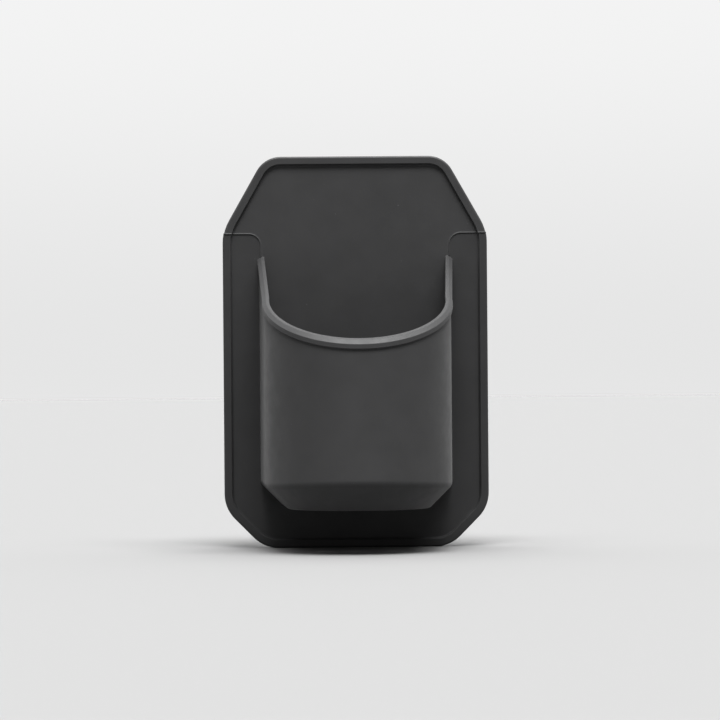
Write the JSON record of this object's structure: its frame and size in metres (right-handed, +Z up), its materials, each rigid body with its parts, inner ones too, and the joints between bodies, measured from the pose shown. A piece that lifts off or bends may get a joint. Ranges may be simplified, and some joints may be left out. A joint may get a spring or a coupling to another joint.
{
  "type": "wall mounted cup holder",
  "caption": "Soft silicone holder with a D-plan cup and sloping thick rim on an elongated-octagon plate that grips a smooth wall.",
  "frame": {"origin": "centre of the rear grip face, which lies on the wall", "axes": "+Z up the wall, +Y into the wall, the cup stands out towards -Y, +X to the right seen from the front"},
  "size_m": [0.1052, 0.0795, 0.1556],
  "materials": {
    "grip_silicone": "polished high-tack silicone",
    "panel_silicone": "matte charcoal silicone",
    "cup_silicone": "matte charcoal silicone"
  },
  "bodies": {
    "root": {"grip_pad": "grip_silicone", "back_panel": "panel_silicone", "cup_body": "cup_silicone"}
  },
  "joints": []
}
